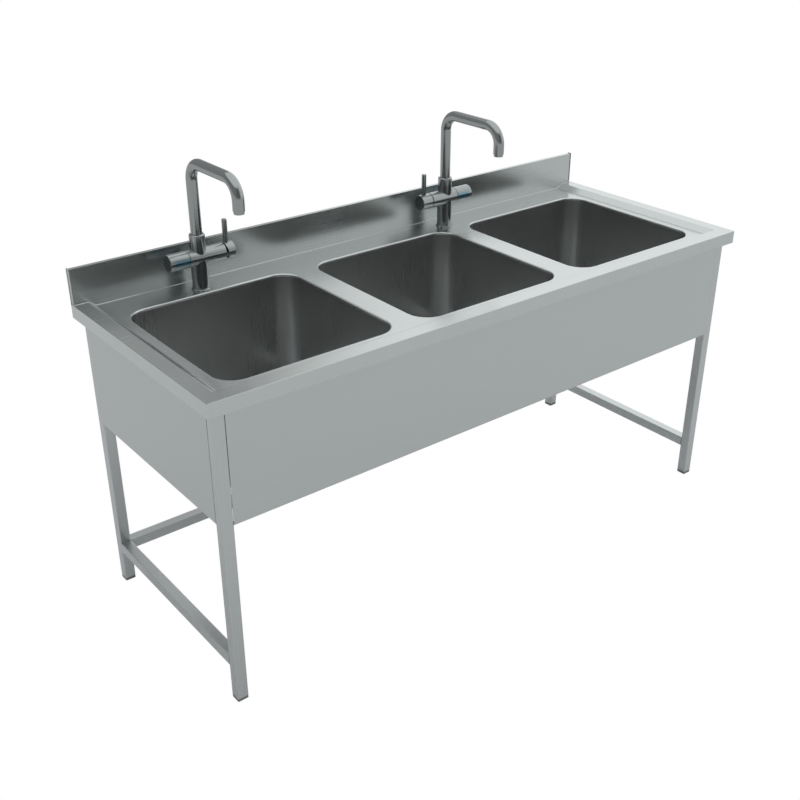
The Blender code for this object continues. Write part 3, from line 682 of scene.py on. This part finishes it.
def buildTap(side):
    # turned profiles (radius, height) round the column or the barrel, a saddle collar and a swept spout
    turn = tapSides[side]
    hub = hubOf(side)
    t = tapLook
    deck = t["deck"] - t["axisZ"]
    steel = finishes["tap"]
    bodyLow, bodyHigh = span("tap_body_" + side)
    end = bodyHigh[0] - hub[0] if turn > 0 else hub[0] - bodyLow[0]
    turnedPiece("tapBaseRing_" + side, [(0.0132, deck + 0.0051), (0.0226, deck + 0.0051), (0.0236, deck + 0.0022),
                                        (0.0262, deck + 0.0012), (0.0262, deck + 0.0003),
                                        (0.0132, deck + 0.0003)], hub, steel, "frame",
                ["tap_base_ring_" + side],
                radii=[0.0003, 0.0003, 0.0016, 0.0005, 0.0003, 0.0003], closed=True)
    column = turnedGrid(roundCorners([(0.0130, -0.004), (t["column"], -0.004), (t["column"], deck + 0.0054),
                                      (0.0130, deck + 0.0054)], [0.0004, 0.0004, 0.0007, 0.0004], 5,
                                     closed=True), t["steps"])
    barrelLine = roundCorners([(0.0165, end), (t["barrel"], end), (t["barrel"], -0.0342), (0.0130, -0.0342),
                               (0.0130, -0.0040), (0.0001, -0.0040), (0.0001, 0.0040), (0.0165, 0.0040)],
                              [0.0004, 0.0007, 0.0011, 0.0004, 0.0003, 0, 0, 0.0003], 5, closed=True)
    sheets = [{"grid": place(column, hub), "closeRows": True},
              {"grid": place(turnedGrid(barrelLine, t["steps"]), hub, "X", turn), "closeRows": True}]
    showPiece("tapBody_" + side, gridMesh("tapBody_" + side, sheets), steel, "frame", ["tap_body_" + side])
    mesh = gridMesh("tapCollar_" + side, [{"grid": saddleCollar(side), "closeRows": True}])
    showPiece("tapCollar_" + side, mesh, steel, "frame", ["spout_collar_" + side])

    spoutBody = "spout_unit_" + side
    walls = np.concatenate([spoutGrid(side, t["spout"]), spoutGrid(side, t["spout"] - t["spoutWall"], True)])
    mesh = gridMesh("tapSpout_" + side, [{"grid": walls, "closeRows": True}])
    showPiece("tapSpout_" + side, mesh, steel, spoutBody, ["spout_" + side])
    low, high = span("aerator_" + side)
    tip = ((low[0] + high[0]) / 2, (low[1] + high[1]) / 2, low[2])
    turnedPiece("tapAerator_" + side, [(0.0090, 0.0170), (0.0132, 0.0170), (0.0133, 0.0), (0.0095, 0.0),
                                       (0.0090, 0.0020)], tip, steel, spoutBody, ["aerator_" + side],
                radii=[0.0003, 0.0003, 0.0008, 0.0004, 0.0004], closed=True)

    leverBody = "lever_unit_" + side
    capLow, capHigh = span("lever_cap_" + side)
    near = capLow[0] - hub[0] if turn > 0 else hub[0] - capHigh[0]
    far = capHigh[0] - hub[0] if turn > 0 else hub[0] - capLow[0]
    lean = 0.0095 if side == "left" else 0.0
    cap = turnedGrid(roundCorners([(0.00001, far), (t["barrel"], far), (t["barrel"], near), (0.00001, near)],
                                  [0, 0.0009, 0.0007, 0], 6), t["steps"])
    # the inner half of the cap is sheared, so that its face leans away from the barrel at the bottom
    slide = np.clip((far - 0.004 - cap[..., 2]) / (far - 0.004 - near), 0, 1)
    cap[..., 2] += slide * lean * (cap[..., 0] + t["barrel"]) / (2 * t["barrel"])
    mesh = gridMesh("leverCap_" + side, [{"grid": place(cap, hub, "X", turn)}])
    showPiece("leverCap_" + side, mesh, steel, leverBody, ["lever_cap_" + side])
    rodAt = hub + (turn * t["rodAt"], 0, 0)
    turnedPiece("leverRod_" + side, [(0.00001, 0.0850), (0.0070, 0.0850), (0.0070, 0.0120), (0.00001, 0.0120)],
                rodAt, steel, leverBody, ["lever_rod_" + side], radii=[0, 0.0014, 0.0003, 0])
    turnedPiece("tapKnob_" + side, [(0.0205, -0.0350), (t["barrel"], -0.0350), (t["barrel"], -0.0910),
                                    (0.00001, -0.0910), (0.00001, -0.0870), (0.0205, -0.0870)], hub,
                finishes["tapBlue"], "knob_unit_" + side, ["valve_knob_" + side], axis="X",
                turn=turn, radii=[0.0004, 0.0011, 0.0010, 0, 0, 0.0005], closed=True)


tubeLook = {"wall": 0.0015, "edge": 0.0028, "perCorner": 9}


def buildTube(node, axis, finish):
    # rounded square outline pulled along its axis, outer wall out and inner wall back
    low, high = span(node)
    k = "XYZ".index(axis)
    a, b = [i for i in range(3) if i != k]
    middle, half = (low + high) / 2, (high - low) / 2
    loops = []
    edge, wall = tubeLook["edge"], tubeLook["wall"]
    for inset, along in ((0.0002, low[k]), (0, low[k] + 0.0002), (0, high[k] - 0.0002), (0.0002, high[k]),
                         (wall, high[k]), (wall, low[k])):
        flat = roundedLoop(half[a] - inset, half[b] - inset, edge - inset, 0.0,
                           perCorner=tubeLook["perCorner"])
        loop = np.zeros((len(flat), 3))
        loop[:, k], loop[:, a], loop[:, b] = along, middle[a] + flat[:, 0], middle[b] + flat[:, 1]
        loops.append(loop)
    mesh = gridMesh(node + "_tube", [{"grid": np.stack(loops), "closeRows": True}])
    showPiece(node + "_tube", mesh, finish, "frame", [node])


def buildFrame():
    # legs stand along Z, side stretchers run along Y and the rear one along X
    corners = ("front_left", "front_right", "rear_left", "rear_right")
    for corner in corners:
        buildTube("leg_" + corner, "Z", finishes["frame"])
    buildTube("stretcher_left", "Y", finishes["frameDeep"])
    buildTube("stretcher_right", "Y", finishes["frameDeep"])
    buildTube("stretcher_rear", "X", finishes["frameWide"])


panelLook = {"sheet": 0.0012, "return": 0.0145, "bend": 0.0016, "grow": 0.0003}


def buildPanel(node, along, outward):
    # C section with rounded bends, pulled along its length; outward is the way its face looks
    low, high = span(node)
    k = "XY".index(along)
    d = 1 - k
    face = high[d] if outward > 0 else low[d]
    t, lip, bend = panelLook["sheet"], panelLook["return"], panelLook["bend"]
    section = roundCorners([(0, low[2]), (lip, low[2]), (lip, low[2] + t), (t, low[2] + t), (t, high[2] - t),
                            (lip, high[2] - t), (lip, high[2]), (0, high[2])],
                           [bend, 0.0003, 0.0003, 0.0005, 0.0005, 0.0003, 0.0003, bend], 5, closed=True)
    loops = []
    grow = panelLook["grow"]
    for at in (low[k] - grow, high[k] + grow):
        loop = np.zeros((len(section), 3))
        loop[:, k], loop[:, d], loop[:, 2] = at, face - outward * section[:, 0], section[:, 1]
        loops.append(loop)
    mesh = gridMesh(node + "_skin", [{"grid": np.stack(loops), "capFirst": True, "capLast": True}])
    showPiece(node + "_skin", mesh, finishes["panel"], "frame", [node])


def buildPanels():
    # the front apron and the two side panels
    buildPanel("apron_front", "X", -1)
    buildPanel("side_panel_left", "Y", -1)
    buildPanel("side_panel_right", "Y", 1)


def dressCad():
    # the pieces that keep their CAD shape take a finish of their own
    dress = {"rear_rail": "hidden", "deck_stiffener_left": "hidden", "deck_stiffener_right": "hidden"}
    for corner in ("front_left", "front_right", "rear_left", "rear_right"):
        dress["foot_cap_" + corner] = "cap"
    for side in bowlSides:
        dress["waste_gasket_" + side] = "rubber"
        dress["waste_nut_" + side] = "nut"
        dress["strainer_basket_" + side] = "waste"
    for side in tapSides:
        for piece in ("valve_headwork_", "tap_shank_", "clamp_washer_", "shank_nut_"):
            dress[piece + side] = "brass"
        dress["mixer_core_" + side] = "seal"
    for node, finish in dress.items():
        mesh = nodes[node].data
        mesh.materials.clear()
        mesh.materials.append(finishes[finish])


cameraLook = {"place": (-1.8052, -2.1387, 1.8913), "turn": (62.34, 0.0, -38.40), "lens": 48.03}
skyLook = {"compass": ((-180, 0.20), (-150, 0.20), (-125, 0.30), (-60, 0.32), (-25, 0.36), (10, 0.37), (29, 0.36),
                       (38, 1.05), (100, 1.05), (125, 0.85), (148, 0.82), (158, 0.20), (180, 0.20)),
           "most": 1.2, "zenith": 1.0, "zenithFrom": 39.0, "zenithTo": 50.0, "floorTint": (0.80, 0.805, 0.81)}


def buildCamera():
    # the studio camera at the front left, a little above the taps
    data = bpy.data.cameras.new("studioCamera")
    data.lens = cameraLook["lens"]
    data.sensor_width = 36.0
    camera = bpy.data.objects.new("studioCamera", data)
    camera.location = cameraLook["place"]
    camera.rotation_euler = [math.radians(a) for a in cameraLook["turn"]]
    bpy.context.scene.collection.objects.link(camera)
    bpy.context.scene.camera = camera


def buildFloor():
    # matt pale disc of three rings, plain white where the camera looks at it
    a = 2 * np.pi * np.arange(96) / 96
    rings = np.stack([np.stack([r * np.cos(a), r * np.sin(a), np.zeros(96)], 1) for r in (0.001, 4.0, 40.0)])
    mesh = gridMesh("studioFloor", [{"grid": rings}], outward=False)
    floor = bpy.data.objects.new("studioFloor", mesh)
    bpy.context.scene.collection.objects.link(floor)
    mat = bpy.data.materials.new("paleFloor")
    mat.use_nodes = True
    tree = mat.node_tree
    tree.nodes.clear()
    out = tree.nodes.new("ShaderNodeOutputMaterial")
    matt = tree.nodes.new("ShaderNodeBsdfDiffuse")
    matt.inputs["Color"].default_value = (*skyLook["floorTint"], 1)
    glow = tree.nodes.new("ShaderNodeEmission")
    path = tree.nodes.new("ShaderNodeLightPath")
    mix = tree.nodes.new("ShaderNodeMixShader")
    tree.links.new(path.outputs["Is Camera Ray"], mix.inputs[0])
    tree.links.new(matt.outputs[0], mix.inputs[1])
    tree.links.new(glow.outputs[0], mix.inputs[2])
    tree.links.new(mix.outputs[0], out.inputs["Surface"])
    mesh.materials.append(mat)


def buildSky():
    # studio walls as a soft function of compass angle and height; white where the camera looks past
    world = bpy.data.worlds.new("studio")
    bpy.context.scene.world = world
    world.use_nodes = True
    tree = world.node_tree
    tree.nodes.clear()
    out = tree.nodes.new("ShaderNodeOutputWorld")
    look = skyLook
    way = tree.nodes.new("ShaderNodeTexCoord")
    parts = tree.nodes.new("ShaderNodeSeparateXYZ")
    tree.links.new(way.outputs["Generated"], parts.inputs[0])
    compass = mathNode(tree, "ARCTAN2", parts.outputs["X"], parts.outputs["Y"])
    compass = mathNode(tree, "MULTIPLY", compass, 180 / math.pi)
    height = mathNode(tree, "ARCSINE", parts.outputs["Z"])
    height = mathNode(tree, "MULTIPLY", height, 180 / math.pi)
    ramp = tree.nodes.new("ShaderNodeValToRGB")
    ramp.color_ramp.interpolation = "EASE"
    stops = [((angle + 180) / 360, level / look["most"]) for angle, level in look["compass"]]
    for position, level in stops[1:-1]:
        ramp.color_ramp.elements.new(position)
    for stop, (position, level) in zip(ramp.color_ramp.elements, stops):
        stop.position, stop.color = position, (level, level, level, 1)
    tree.links.new(rangeNode(tree, compass, -180, 180, smooth=False), ramp.inputs[0])
    level = mathNode(tree, "MULTIPLY", ramp.outputs["Color"], look["most"])
    top = rangeNode(tree, height, look["zenithFrom"], look["zenithTo"], 0.0, 1.0)
    gap = mathNode(tree, "SUBTRACT", look["zenith"], level)
    level = mathNode(tree, "MULTIPLY_ADD", gap, top, level)
    back = tree.nodes.new("ShaderNodeBackground")
    tree.links.new(level, back.inputs["Strength"])
    back.inputs["Color"].default_value = (0.985, 1.0, 1.0, 1)
    white = tree.nodes.new("ShaderNodeBackground")
    white.inputs["Color"].default_value = (1.0, 1.0, 1.0, 1)
    path = tree.nodes.new("ShaderNodeLightPath")
    mix = tree.nodes.new("ShaderNodeMixShader")
    tree.links.new(path.outputs["Is Camera Ray"], mix.inputs[0])
    tree.links.new(back.outputs[0], mix.inputs[1])
    tree.links.new(white.outputs[0], mix.inputs[2])
    tree.links.new(mix.outputs[0], out.inputs["Surface"])


bpy.context.scene.view_settings.view_transform = "Standard"

print("worktop")
buildWorktop()
print("bowls and wastes")
buildBowls()
buildWastes()
print("taps")
for tapSide in tapSides:
    buildTap(tapSide)
print("frame and panels")
buildFrame()
buildPanels()
dressCad()
print("camera, floor and light")
buildCamera()
buildFloor()
buildSky()
